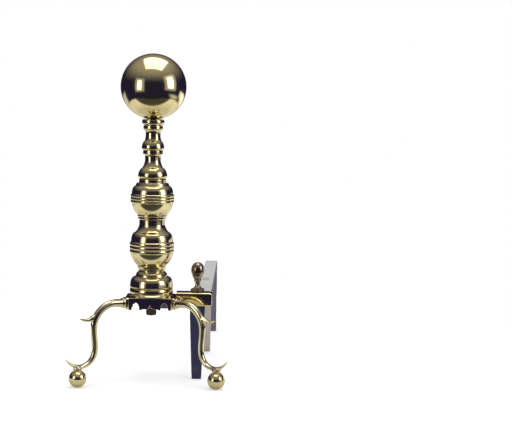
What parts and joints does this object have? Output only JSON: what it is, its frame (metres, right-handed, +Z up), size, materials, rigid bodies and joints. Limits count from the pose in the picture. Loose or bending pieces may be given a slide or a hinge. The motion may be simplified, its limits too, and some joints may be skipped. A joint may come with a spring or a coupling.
{
  "type": "andiron",
  "caption": "Turned brass ball-top andiron on spurred cabriole legs, with a sheathed crossbar and an iron billet bar on iron legs.",
  "frame": {"origin": "on the floor, under the middle of the bounding box", "axes": "+Z up, the brass front faces -Y, the billet bar runs back towards +Y, and the sheathed crossbar points to +X"},
  "size_m": [0.2192, 0.468, 0.4567],
  "materials": {
    "polished_brass": "turned and polished bright",
    "cast_brass": "cast, filed and polished by hand",
    "black_iron": "blackened forged iron",
    "worn_iron": "forged iron worn to bare grey",
    "rusted_iron": "rust-browned iron"
  },
  "bodies": {
    "root": {"base_band": "polished_brass", "base_dome": "polished_brass", "lower_ring_ball": "polished_brass", "upper_ring_ball": "polished_brass", "second_baluster": "polished_brass", "neck_baluster": "polished_brass", "ball_collar": "polished_brass", "ball_top": "polished_brass", "ball_ferrule": "cast_brass", "plinth": "cast_brass", "central_rod": "black_iron", "rod_washer": "rusted_iron", "rod_nut": "rusted_iron", "right_leg": "cast_brass", "right_foot_ball": "polished_brass", "right_leg_bolt": "black_iron", "left_leg": "cast_brass", "left_foot_ball": "polished_brass", "left_leg_bolt": "black_iron", "bar_sheath": "polished_brass", "billet_bar": "worn_iron", "front_iron_leg": "black_iron", "middle_iron_leg": "worn_iron", "log_stop_finial": "polished_brass"}
  },
  "joints": []
}
